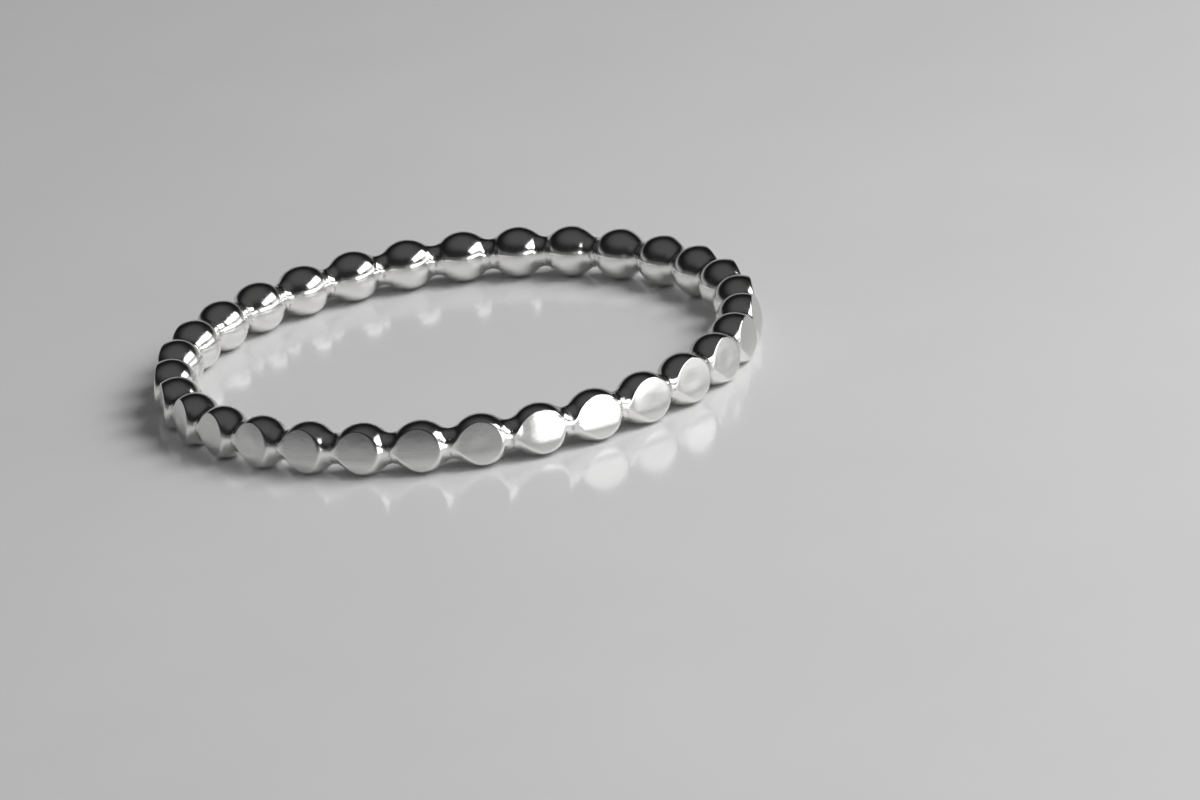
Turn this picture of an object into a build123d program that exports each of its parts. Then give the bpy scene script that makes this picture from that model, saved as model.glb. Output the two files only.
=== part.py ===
from build123d import *
import math
import os

# A stackable finger ring, made of one length of beaded silver wire that is bent round a
# mandrel and soldered shut: a closed row of beads joined by short, narrower necks. Each bead
# is filed flat on its outer side, a little deeper towards one end, which leaves a row of
# facets that start as a point at one neck and end round, short of the next neck.
# The ring lies on its side. The origin is on the surface that it lies on, at the middle of
# the ring; +Z is the ring's axis, and one bead points along -Y.

# ---- Driving dimensions, in millimetres and degrees ----
BORE_DIAMETER = 16.5  # inside, between the crests of the beads: US ring size 6
BEAD_COUNT = 31
BEAD_DIAMETER = 1.63  # 14 gauge beaded wire, across a bead
NECK_DIAMETER = 0.95  # across the wire between two beads
BEAD_ARC_RADIUS = 1.02  # lengthwise curve of a bead's crest
FACET_HEIGHT = 0.58  # from the wire's middle line out to a facet, at the middle of its bead
FACET_YAW = -5.5  # turn about the ring's axis: deeper towards one neck, and just clear of it

# How the hand-filed facets differ from bead to bead
FACET_HEIGHT_SPREAD = 0.005
FACET_YAW_SPREAD = 0.3
FACET_PITCH_SPREAD = 1.5  # lean towards the ring's upper or lower side

# ---- Sizes that follow ----
BEAD_RADIUS = BEAD_DIAMETER / 2
NECK_RADIUS = NECK_DIAMETER / 2
RING_RADIUS = BORE_DIAMETER / 2 + BEAD_RADIUS  # from the ring's axis to the middle of a bead
PITCH_ANGLE = 360 / BEAD_COUNT
HALF_PITCH = RING_RADIUS * math.tan(math.radians(PITCH_ANGLE / 2))

# The crest's arc and the neck's arc meet in a common tangent at this slope.
SLOPE_ANGLE = 2 * math.atan((BEAD_RADIUS - NECK_RADIUS) / HALF_PITCH)
NECK_ARC_RADIUS = HALF_PITCH / math.sin(SLOPE_ANGLE) - BEAD_ARC_RADIUS
FACET_CUTTER_DEPTH = BEAD_DIAMETER


def on_arc(centre_x, centre_y, radius, angle):
    """The point of a circle at an angle from +Y, in radians, positive towards +X."""
    return (centre_x + radius * math.sin(angle), centre_y + radius * math.cos(angle))


def bead_profile():
    """Half of a bead and of the necks on both sides of it, to be turned about the X axis."""
    trough_y = NECK_RADIUS + NECK_ARC_RADIUS
    past_neck = 0.4 * SLOPE_ANGLE  # the neck's arc runs on a little, to be trimmed to the pitch

    def neck_arc(side):
        arc_at = [
            on_arc(side * HALF_PITCH, trough_y, NECK_ARC_RADIUS, math.pi + side * angle)
            for angle in (SLOPE_ANGLE, 0, -past_neck)
        ]
        return ThreePointArc(*arc_at)

    left_neck = neck_arc(-1)
    right_neck = neck_arc(1)
    crest = ThreePointArc(left_neck @ 0, (0, BEAD_RADIUS), right_neck @ 0)
    left_end = left_neck @ 1
    right_end = right_neck @ 1
    axis_line = Polyline(left_end, (left_end.X, 0), (right_end.X, 0), right_end)
    return make_face([left_neck, crest, right_neck, axis_line])


def bead():
    """One bead with half a neck on each side, in its place at the front of the ring."""
    turned = revolve(bead_profile(), axis=Axis.X)
    in_place = Pos(0, -RING_RADIUS, BEAD_RADIUS) * turned
    reach = 2 * RING_RADIUS
    half_width = reach * math.tan(math.radians(PITCH_ANGLE / 2))
    sector = make_face(Polyline((0, 0), (-half_width, -reach), (half_width, -reach), close=True))
    return in_place & extrude(sector, amount=BEAD_DIAMETER)


def facet_cutter(index):
    """What the file takes off the outer side of one bead: a block whose inner face is the facet."""
    wander = math.radians(137.5 * index)  # an even, never repeating spread round the ring
    height = FACET_HEIGHT + FACET_HEIGHT_SPREAD * math.sin(3 * wander)
    yaw = FACET_YAW + FACET_YAW_SPREAD * math.sin(wander)
    pitch = FACET_PITCH_SPREAD * math.cos(2 * wander)
    block = Box(2 * HALF_PITCH, FACET_CUTTER_DEPTH, 2 * BEAD_DIAMETER)
    turned = Rot(pitch, 0, yaw) * Pos(0, -FACET_CUTTER_DEPTH / 2, 0) * block
    filed = Pos(0, -RING_RADIUS - height, BEAD_RADIUS) * turned
    return Rot(0, 0, index * PITCH_ANGLE) * filed


def beaded_band():
    """The whole ring: the beads in a closed row, with a facet filed on each."""
    one_bead = bead()
    beads = [Rot(0, 0, index * PITCH_ANGLE) * one_bead for index in range(BEAD_COUNT)]
    row = beads[0].fuse(*beads[1:])
    return row.cut(*[facet_cutter(index) for index in range(BEAD_COUNT)])


band = beaded_band()
band.label = "beaded_band"
os.makedirs("parts", exist_ok=True)
export_step(band, "parts/beaded_band.step")
print("pitch mm", round(2 * HALF_PITCH, 3), "neck arc mm", round(NECK_ARC_RADIUS, 3))
print("solids", len(band.solids()), "volume mm3", round(band.volume, 2), "valid", band.is_valid)
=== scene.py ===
import math
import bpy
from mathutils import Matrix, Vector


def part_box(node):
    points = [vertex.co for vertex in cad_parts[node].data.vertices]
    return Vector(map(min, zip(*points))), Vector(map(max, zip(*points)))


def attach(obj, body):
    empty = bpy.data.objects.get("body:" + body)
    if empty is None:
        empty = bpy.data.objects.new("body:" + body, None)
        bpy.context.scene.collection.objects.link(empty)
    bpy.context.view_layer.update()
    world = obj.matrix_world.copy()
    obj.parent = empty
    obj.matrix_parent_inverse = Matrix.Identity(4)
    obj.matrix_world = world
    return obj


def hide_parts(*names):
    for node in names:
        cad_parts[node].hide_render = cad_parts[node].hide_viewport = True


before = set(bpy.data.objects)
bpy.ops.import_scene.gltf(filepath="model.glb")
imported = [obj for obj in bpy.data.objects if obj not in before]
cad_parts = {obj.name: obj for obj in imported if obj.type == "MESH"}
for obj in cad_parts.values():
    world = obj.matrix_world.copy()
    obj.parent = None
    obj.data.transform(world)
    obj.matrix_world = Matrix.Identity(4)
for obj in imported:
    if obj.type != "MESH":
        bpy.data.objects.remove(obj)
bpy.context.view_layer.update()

from types import SimpleNamespace

import bpy
import numpy as np
from mathutils import Matrix, Vector

# A ring of beaded silver wire that lies on its side on a pale, glossy table. Every bead has a
# hand-filed facet on its outer side, which starts as a point at one neck and ends round, short
# of the next. Lengths in this script are in millimetres until a mesh, a lamp or the camera is
# made from them.
MM = 0.001

# ---- The wire and the ring ----
BEAD_COUNT = 31
BEAD_RADIUS = 0.815
NECK_RADIUS = 0.485
BEAD_ARC_RADIUS = 1.02  # lengthwise curve of a bead's crest
RING_RADIUS = 9.065  # from the ring's axis to the middle of a bead
PITCH = 2 * math.pi * RING_RADIUS / BEAD_COUNT
HALF_PITCH = PITCH / 2
low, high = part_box("beaded_band")
RING_MIDDLE = Vector(((low.x + high.x) / 2, (low.y + high.y) / 2, 0)) / MM

# ---- The outer side of a bead, before its facet is filed ----
OUTER_SWELL = 0.4  # how far it stands out, for each mm that the bead is thicker than its neck
SWELL_FADE = (0.1, 0.5)  # the swell fades out between these distances from the blunt end's neck
SHOULDER_DROP = 0.115  # how much flatter it is beside the pointed end of the facet
SHOULDER_SPAN = (0.06, 0.92)  # where it is flatter, from the pointed end's neck
LOWER_SLACK = 0.06  # share by which it is flatter below than above

# ---- The facets; heights are over the wire's middle line ----
FACET_START = 0.445  # height at the neck, where a facet starts
FACET_SLOPE = 0.099  # rise for each mm towards the blunt end
FACET_EASE = 0.04  # length over which a facet leaves the neck level, before it rises
FACET_LEAN = -6  # in degrees: the upper edge is filed deeper than the lower one
LEAN_START = 0.3  # a facet has its full lean this far from its neck
BULGE_LENGTH = 1.55  # from the neck
DISH_RADIUS = 0.48
DISH_PLACE = -0.12  # along from the bead's middle
DISH_STRETCH = 1.2  # how many times longer a dish is than it is high
WORN_EDGE = 0.3  # how strongly the lower edge curves away, for each mm squared
WORN_BELOW = -0.2  # the wear begins at this height from the bead's middle
WORN_START = 0.5  # and is full this far from the neck
NEXT_MARKS = (3.1, 0.73)  # steps through the file marks, so that no two facets share them

# ---- The finish of the silver: colours, and heights of its relief ----
CLEAN_SILVER = (0.925, 0.92, 0.91, 1)
# greyer silver for the painted shade on each facet's face
SHADED_FACET_SILVER = (0.71, 0.706, 0.70, 1)
# dark silver for the painted shade in the valleys between beads
NECK_SHADE_SILVER = (0.42, 0.405, 0.385, 1)
FILE_MARK_HEIGHT = 0.0003
DENT_HEIGHT = 0.004
GRIT_HEIGHT = 0.0003
SCRATCH_DEPTH = 0.0005
PIT_DEPTH = 0.004

# ---- The table ----
TABLE_HALF_SIZE = 3000
TABLE_COLOURS = (0.66, 0.66, 0.66, 1), (0.72, 0.72, 0.72, 1)
TABLE_WAVE_HEIGHT = 0.0008

# ---- The camera; distances are in ring radii, and angles in degrees ----
CAMERA_AZIMUTH = -3
CAMERA_ELEVATION = 19.1
CAMERA_ROLL = 7.5
CAMERA_AWAY = 31.5
CAMERA_RIGHT = 0.498  # the ring stands left of the picture's middle
CAMERA_DOWN = 0.185  # and above it
FOCAL_LENGTH = 271
SENSOR_WIDTH = 36


# ---------------------------------------------------------------- the beaded band
def smooth_step(value, start, end):
    """0 up to the start, 1 from the end on, and an easy curve between them."""
    share = np.clip((value - start) / (end - start), 0, 1)
    return share * share * (3 - 2 * share)


def hump(value, start, end):
    """A rounded rise and fall from 0 at the start, through 1 halfway, to 0 at the end."""
    return np.sin(math.pi * np.clip((value - start) / (end - start), 0, 1)) ** 2


def soft_lower(first, second, softness):
    """The lower of two heights, with the corner between them rounded over the softness."""
    closeness = np.maximum(softness - np.abs(first - second), 0) / softness
    return np.minimum(first, second) - closeness * closeness * softness / 4


def rows_round_the_wire():
    """Angles round the wire from its outer side, closer together where it is filed."""
    outer_rows, inner_rows = 27, 10
    filed_side = math.radians(88)
    outer = np.linspace(0, filed_side, outer_rows)
    inner = np.linspace(filed_side, math.pi, inner_rows + 2)[1:-1]
    upper = np.concatenate([outer, inner])
    return np.concatenate([upper, [math.pi], -upper[:0:-1]])


def columns_round_the_ring():
    """Each column's bead, and its distance along the wire from that bead's middle.

    The columns are closer together at the necks.
    """
    columns_per_bead = 40
    crowding = 0.25
    share = np.arange(columns_per_bead) / columns_per_bead - 0.5 + 0.5 / columns_per_bead
    along_bead = PITCH * (share + crowding * np.sin(2 * math.pi * share) / (2 * math.pi))
    return np.repeat(np.arange(BEAD_COUNT), columns_per_bead), np.tile(along_bead, BEAD_COUNT)


def wire_radius(along):
    """Radius of the beaded wire at a distance along it from a bead's middle."""
    slope = 2 * math.atan((BEAD_RADIUS - NECK_RADIUS) / HALF_PITCH)
    neck_arc = HALF_PITCH / math.sin(slope) - BEAD_ARC_RADIUS
    along = np.abs(along)
    crest = BEAD_RADIUS - BEAD_ARC_RADIUS + np.sqrt(BEAD_ARC_RADIUS**2 - along**2)
    from_neck = np.clip(HALF_PITCH - along, 0, neck_arc)
    neck = NECK_RADIUS + neck_arc - np.sqrt(neck_arc**2 - from_neck**2)
    return np.where(along < BEAD_ARC_RADIUS * math.sin(slope), crest, neck)


def outer_swell(along, radius, round_wire):
    """How far the outer side of the wire stands out, as a share of its round form."""
    before_blunt_neck = smooth_step(HALF_PITCH - along, *SWELL_FADE)
    swell = 1 + OUTER_SWELL * before_blunt_neck * (radius - NECK_RADIUS) / radius
    swell = swell - SHOULDER_DROP * hump(along + HALF_PITCH, *SHOULDER_SPAN) / radius
    return swell - LOWER_SLACK * np.clip(-np.sin(round_wire), 0, 1)


def filing_by_hand():
    """What differs from facet to facet, with one number for each bead."""
    rng = np.random.default_rng(22951)
    return SimpleNamespace(
        start=FACET_START + rng.uniform(0, 0.003, BEAD_COUNT),
        slope=FACET_SLOPE + rng.normal(0, 0.012, BEAD_COUNT),
        bulge=rng.uniform(0.0, 0.03, BEAD_COUNT),
        lean=np.radians(rng.normal(FACET_LEAN, 1.3, BEAD_COUNT)),
        dome_across=rng.uniform(0.03, 0.09, BEAD_COUNT),
        dish=rng.uniform(-0.003, 0.016, BEAD_COUNT),
        dish_at=rng.uniform(-0.12, 0.12, (2, BEAD_COUNT)),
    )


def facet_height(bead, sideways, up):
    """Height that a bead is filed down to, at a place sideways and up from its middle."""
    hand = filing_by_hand()
    past_neck = sideways + HALF_PITCH
    rise = np.hypot(past_neck, FACET_EASE) - FACET_EASE
    height = hand.start[bead] + hand.slope[bead] * rise
    height = height + hand.bulge[bead] * hump(past_neck, 0, BULGE_LENGTH)
    tilt = hand.lean[bead] * up - hand.dome_across[bead] * up**2
    height = height + smooth_step(past_neck, 0, LEAN_START) * tilt
    from_dish = np.hypot(
        sideways - DISH_PLACE - hand.dish_at[0, bead],
        DISH_STRETCH * (up - hand.dish_at[1, bead]),
    )
    height = height - hand.dish[bead] * (1 - smooth_step(from_dish, 0, DISH_RADIUS))
    worn = smooth_step(past_neck, 0, WORN_START) * np.clip(WORN_BELOW - up, 0, 1) ** 2
    return height - WORN_EDGE * worn


def edge_softness(sideways, up):
    """Width over which a facet's edge is rounded: crisp at the point, soft at the blunt end."""
    past_neck = sideways + HALF_PITCH
    along_sides = 0.01 * smooth_step(past_neck, 0, 0.3)
    at_blunt_end = 0.06 * smooth_step(past_neck, 0.9, 1.5)
    below = 0.008 * smooth_step(past_neck, 0.1, 0.6) * smooth_step(-up, 0.05, 0.4)
    return 0.003 + along_sides + at_blunt_end + below


def closed_quads(columns, rows):
    """Quads over a grid of points that closes on itself both ways."""
    index = np.arange(columns * rows).reshape(columns, rows)
    right = np.roll(index, -1, axis=0)
    corners = [index, right, np.roll(right, -1, axis=1), np.roll(index, -1, axis=1)]
    return np.stack(corners, axis=-1).reshape(-1, 4)


def store(mesh, name, values, kind="FLOAT"):
    """Keep a number, or a vector, with each point of the mesh for its material to read."""
    layer = mesh.attributes.new(name, kind, "POINT")
    field = "value" if kind == "FLOAT" else "vector"
    layer.data.foreach_set(field, values.astype(np.float32).ravel())


def beaded_band():
    """The whole ring as one closed mesh: columns round the ring, rows round the wire."""
    bead, along = (column[:, None] for column in columns_round_the_ring())
    round_wire = rows_round_the_wire()
    radius = wire_radius(along)
    up = radius * np.sin(round_wire)
    outward = radius * np.cos(round_wire)
    outward = np.where(outward > 0, outward * outer_swell(along, radius, round_wire), outward)

    # from the ring's own angle to each bead's flat frame, where its facet is filed
    turn = along / RING_RADIUS
    sideways = (RING_RADIUS + outward) * np.sin(turn)
    out = (RING_RADIUS + outward) * np.cos(turn) - RING_RADIUS
    facet = facet_height(bead, sideways, up)
    filed_off = np.where(outward > 0, np.clip(out - facet, -0.1, 0.5), -0.1)
    out = soft_lower(out, facet, edge_softness(sideways, up))

    # and back to the ring
    front = -math.pi / 2
    angle = front + bead * 2 * math.pi / BEAD_COUNT + np.arctan2(sideways, RING_RADIUS + out)
    reach = np.hypot(RING_RADIUS + out, sideways)
    points = np.stack([reach * np.cos(angle), reach * np.sin(angle), up + BEAD_RADIUS], axis=-1)
    points += np.array(RING_MIDDLE)

    mesh = bpy.data.meshes.new("beaded_band_visual")
    quads = closed_quads(*points.shape[:2])
    mesh.from_pydata((points.reshape(-1, 3) * MM).tolist(), [], quads.tolist())
    mesh.shade_smooth()

    store(mesh, "filed_off", filed_off)
    valley = smooth_step(np.abs(along), 0.45 * PITCH, HALF_PITCH)
    store(mesh, "valley", np.broadcast_to(valley, up.shape))
    step_along, step_in = (step * bead for step in NEXT_MARKS)
    facet_place = [sideways + step_along, up, np.broadcast_to(step_in, up.shape)]
    store(mesh, "facet_place", np.stack(facet_place, axis=-1), "FLOAT_VECTOR")

    piece = bpy.data.objects.new("beaded_band_visual", mesh)
    bpy.context.scene.collection.objects.link(piece)
    return piece


# ---------------------------------------------------------------- shader nodes
def new_material(name):
    material = bpy.data.materials.new(name)
    material.use_nodes = True
    tree = material.node_tree
    return material, tree, tree.nodes["Principled BSDF"]


def put_in(tree, socket, value):
    """Give a socket a fixed value, or link it to another node's output."""
    if isinstance(value, bpy.types.NodeSocket):
        tree.links.new(value, socket)
    else:
        socket.default_value = value


def math_node(tree, operation, first, second):
    node = tree.nodes.new("ShaderNodeMath")
    node.operation = operation
    for socket, value in zip(node.inputs, (first, second)):
        put_in(tree, socket, value)
    return node.outputs["Value"]


def add(tree, first, second):
    return math_node(tree, "ADD", first, second)


def subtract(tree, first, second):
    return math_node(tree, "SUBTRACT", first, second)


def times(tree, first, second):
    return math_node(tree, "MULTIPLY", first, second)


def mixed(tree, kind, factor, first, second):
    """A mix of two numbers (FLOAT) or of two colours (RGBA)."""
    node = tree.nodes.new("ShaderNodeMix")
    node.data_type = kind
    for name, value in (("Factor", factor), ("A", first), ("B", second)):
        put_in(tree, node.inputs[name], value)
    return node.outputs["Result"]


def between(tree, value, span, results):
    """One result up to the span's start, the other from its end on, and an easy curve between."""
    node = tree.nodes.new("ShaderNodeMapRange")
    node.interpolation_type = "SMOOTHSTEP"
    tree.links.new(value, node.inputs["Value"])
    for name, number in zip(("From Min", "From Max", "To Min", "To Max"), (*span, *results)):
        node.inputs[name].default_value = number
    return node.outputs["Result"]


def noise(tree, place, scale, detail, rough=0.55):
    node = tree.nodes.new("ShaderNodeTexNoise")
    node.inputs["Scale"].default_value = scale
    node.inputs["Detail"].default_value = detail
    node.inputs["Roughness"].default_value = rough
    tree.links.new(place, node.inputs["Vector"])
    return node.outputs["Fac"]


def streaks(tree, place, turn_deg, scale, detail):
    """Noise that is turned, and stretched along the axis with the smallest scale."""
    node = tree.nodes.new("ShaderNodeMapping")
    node.vector_type = "POINT"
    node.inputs["Rotation"].default_value = [math.radians(angle) for angle in turn_deg]
    node.inputs["Scale"].default_value = scale
    tree.links.new(place, node.inputs["Vector"])
    return noise(tree, node.outputs["Vector"], 1.0, detail)


def attribute(tree, name, output="Fac"):
    node = tree.nodes.new("ShaderNodeAttribute")
    node.attribute_name = name
    return node.outputs[output]


def parts_of(tree, vector):
    """The X, Y and Z outputs of a vector."""
    node = tree.nodes.new("ShaderNodeSeparateXYZ")
    tree.links.new(vector, node.inputs["Vector"])
    return node.outputs


def raise_relief(tree, shader, height):
    """Let a height in millimetres show in the shader's normal."""
    bump = tree.nodes.new("ShaderNodeBump")
    bump.inputs["Strength"].default_value = 1.0
    bump.inputs["Distance"].default_value = MM
    tree.links.new(height, bump.inputs["Height"])
    tree.links.new(bump.outputs["Normal"], shader.inputs["Normal"])


# ---------------------------------------------------------------- materials
def silver():
    """Sterling silver: polished beads, satin facets with file marks, painted shade on the facets
    inside a painted highlight rim, and painted shade in patches in the valleys.
    """
    material, tree, shader = new_material("sterling_silver")
    shader.inputs["Metallic"].default_value = 1.0
    place = tree.nodes.new("ShaderNodeTexCoord").outputs["Object"]
    facet_place = attribute(tree, "facet_place", "Vector")
    valley = attribute(tree, "valley")
    filed_off = attribute(tree, "filed_off")
    filed = between(tree, filed_off, (-0.004, 0.012), (0, 1))

    # file marks along each facet, in two finenesses
    long_marks = streaks(tree, facet_place, (0, 0, 4), (0.6, 30, 1), detail=3)
    fine_marks = streaks(tree, facet_place, (0, 0, -7), (1.6, 80, 1), detail=2)
    marks = add(tree, long_marks, times(tree, fine_marks, 0.5))

    # what polishing and wear leave everywhere: soft dents, and scratches in two directions
    dents = noise(tree, place, 2600, detail=2)
    grit = noise(tree, place, 26000, detail=3)
    scratch_a = streaks(tree, place, (20, 35, 50), (900, 24000, 900), detail=2)
    scratch_b = streaks(tree, place, (-40, 15, -35), (800, 800, 26000), detail=2)
    scratch_a = between(tree, scratch_a, (0.66, 0.72), (0, 1))
    scratch_b = between(tree, scratch_b, (0.67, 0.73), (0, 1))
    scratches = math_node(tree, "MAXIMUM", scratch_a, scratch_b)

    # painted shade in patches in the valleys between beads, which are also rougher there and pitted
    # with casting grain
    patches = noise(tree, place, 5200, detail=4, rough=0.65)
    neck_shade_patches = times(tree, valley, between(tree, patches, (0.42, 0.62), (0, 1)))
    pits = between(tree, noise(tree, place, 11000, detail=2), (0.58, 0.7), (0, 1))
    pits = times(tree, valley, pits)

    # painted shade greys each facet's face, broken up by its file marks, and leaves a painted
    # highlight of clean silver round its rim, widest at the lower edge
    painted_rim_width = between(tree, parts_of(tree, facet_place)["Y"], (-0.5, 0.0), (0.12, 0.03))
    inside_painted_rim = math_node(tree, "DIVIDE", filed_off, painted_rim_width)
    painted_facet_shade = between(tree, inside_painted_rim, (0.1, 1.0), (0, 1))
    painted_facet_shade = times(tree, painted_facet_shade, between(tree, long_marks, (0.3, 0.7), (0.8, 1.0)))
    colour = mixed(tree, "RGBA", painted_facet_shade, CLEAN_SILVER, SHADED_FACET_SILVER)
    # painted shade: darker patches in the valleys between beads
    colour = mixed(tree, "RGBA", times(tree, neck_shade_patches, 0.75), colour, NECK_SHADE_SILVER)
    tree.links.new(colour, shader.inputs["Base Color"])

    polished = between(tree, patches, (0.3, 0.7), (0.11, 0.19))
    satin = between(tree, long_marks, (0.3, 0.7), (0.14, 0.2))
    roughness = add(tree, mixed(tree, "FLOAT", filed, polished, satin), times(tree, neck_shade_patches, 0.25))
    tree.links.new(roughness, shader.inputs["Roughness"])

    relief = times(tree, times(tree, marks, filed), FILE_MARK_HEIGHT)
    relief = add(tree, relief, times(tree, dents, DENT_HEIGHT))
    relief = add(tree, relief, times(tree, grit, GRIT_HEIGHT))
    relief = subtract(tree, relief, times(tree, scratches, SCRATCH_DEPTH))
    relief = subtract(tree, relief, times(tree, pits, PIT_DEPTH))
    raise_relief(tree, shader, relief)
    return material


def lacquer():
    """The pale board's lacquer: a hard gloss, faintly cloudy, with rubbed patches and waves."""
    material, tree, shader = new_material("pale_lacquer")
    shader.inputs["IOR"].default_value = 1.35
    place = tree.nodes.new("ShaderNodeTexCoord").outputs["Object"]
    cloud = noise(tree, place, 60, detail=3)
    tree.links.new(mixed(tree, "RGBA", cloud, *TABLE_COLOURS), shader.inputs["Base Color"])
    rubbed = between(tree, noise(tree, place, 240, detail=4), (0.3, 0.7), (0.12, 0.15))
    tree.links.new(rubbed, shader.inputs["Roughness"])
    waves = noise(tree, place, 350, detail=2)
    raise_relief(tree, shader, times(tree, waves, TABLE_WAVE_HEIGHT))
    return material


# ---------------------------------------------------------------- table, light and camera
def direction(azimuth, elevation):
    """Unit vector from the ring: azimuth 0 is -Y, towards the front, and 90 is +X."""
    a, e = math.radians(azimuth), math.radians(elevation)
    return Vector((math.sin(a) * math.cos(e), -math.cos(a) * math.cos(e), math.sin(e)))


def table():
    """The flat top that the ring lies on, far larger than any view of it."""
    reach = TABLE_HALF_SIZE * MM
    corners = [(-reach, -reach, 0), (reach, -reach, 0), (reach, reach, 0), (-reach, reach, 0)]
    mesh = bpy.data.meshes.new("table")
    mesh.from_pydata(corners, [], [(0, 1, 2, 3)])
    mesh.materials.append(lacquer())
    floor = bpy.data.objects.new("table", mesh)
    bpy.context.scene.collection.objects.link(floor)


def window(name, azimuth, elevation, width_deg, height_deg, brightness, away, mirrored=True):
    """A rectangular lamp, given by where it stands and by how large it looks from the ring.

    Its distance is in metres, and one that isn't mirrored never shows in a polished surface.
    """
    lamp = bpy.data.lights.new(name, "AREA")
    lamp.shape = "RECTANGLE"
    lamp.size = 2 * away * math.tan(math.radians(width_deg / 2))
    lamp.size_y = 2 * away * math.tan(math.radians(height_deg / 2))
    lamp.energy = brightness * math.pi * lamp.size * lamp.size_y
    light = bpy.data.objects.new(name, lamp)
    towards = direction(azimuth, elevation)
    light.location = towards * away
    light.rotation_mode = "QUATERNION"
    light.rotation_quaternion = towards.to_track_quat("Z", "Y")
    light.visible_camera = False
    light.visible_glossy = mirrored
    bpy.context.scene.collection.objects.link(light)


def windows():
    """A long soft window high on the right, with a key lamp, a side window and a fill."""
    window("high_window", 70, 36, width_deg=66, height_deg=22, brightness=2.4, away=0.5)
    window("key", 80, 51, width_deg=36, height_deg=30, brightness=6.6, away=0.16, mirrored=False)
    window("side_window", 88, 20, width_deg=40, height_deg=30, brightness=0.4, away=0.5)
    window("fill", -50, 55, width_deg=90, height_deg=60, brightness=0.25, away=0.3, mirrored=False)


def room():
    """A dim studio, hazy at the horizon, with a low glow on the right.

    The camera itself sees plain pale grey past the table.
    """
    world = bpy.data.worlds.new("room")
    bpy.context.scene.world = world
    world.use_nodes = True
    tree = world.node_tree
    nodes, links = tree.nodes, tree.links
    towards = parts_of(tree, nodes.new("ShaderNodeTexCoord").outputs["Generated"])

    def facing(azimuth):
        """How squarely a direction faces an azimuth: 1 is straight at it."""
        level = direction(azimuth, 0)
        return add(tree, times(tree, towards["X"], level.x), times(tree, towards["Y"], level.y))

    walls = between(tree, towards["Y"], (-0.7, 0.75), (0.018, 0.008))
    ceiling = between(tree, towards["Z"], (0.55, 0.98), (0.0, 0.06))

    haze = between(tree, facing(-50), (0.57, 0.82), (0.35, 0.11))
    haze = times(tree, haze, between(tree, towards["Z"], (0.1, 0.34), (1.0, 0.0)))
    wide_glow = between(tree, facing(58), (0.66, 0.76), (0.0, 0.95))
    narrow_glow = between(tree, facing(38), (0.88, 0.94), (0.0, 2.0))
    glow = add(tree, wide_glow, narrow_glow)
    glow = times(tree, glow, between(tree, towards["Z"], (0.12, 0.27), (1.0, 0.0)))

    lit = add(tree, add(tree, walls, ceiling), add(tree, haze, glow))
    camera_ray = nodes.new("ShaderNodeLightPath").outputs["Is Camera Ray"]
    background = nodes["Background"]
    background.inputs["Color"].default_value = (1, 1, 1, 1)
    links.new(mixed(tree, "FLOAT", camera_ray, lit, 0.5), background.inputs["Strength"])


def camera():
    """A long lens, rolled a little, that looks down at the front of the ring."""
    lens = bpy.data.cameras.new("camera")
    lens.sensor_width = SENSOR_WIDTH
    lens.lens = FOCAL_LENGTH
    lens.clip_start = 0.01
    lens.clip_end = 10
    eye = bpy.data.objects.new("camera", lens)

    back = direction(CAMERA_AZIMUTH, CAMERA_ELEVATION)
    right = direction(CAMERA_AZIMUTH + 90, 0)
    up = back.cross(right)
    roll = math.radians(CAMERA_ROLL)
    right, up = (
        math.cos(roll) * right - math.sin(roll) * up,
        math.sin(roll) * right + math.cos(roll) * up,
    )
    middle = Vector((RING_MIDDLE.x, RING_MIDDLE.y, BEAD_RADIUS))
    offset = CAMERA_AWAY * back + CAMERA_RIGHT * right - CAMERA_DOWN * up
    matrix = Matrix((right, up, back)).transposed().to_4x4()
    matrix.translation = (middle + RING_RADIUS * offset) * MM
    eye.matrix_world = matrix
    bpy.context.scene.collection.objects.link(eye)
    bpy.context.scene.camera = eye


band = beaded_band()
band.data.materials.append(silver())
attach(band, "root")
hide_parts("beaded_band")

table()
windows()
room()
camera()
bpy.context.scene.view_settings.view_transform = "Standard"
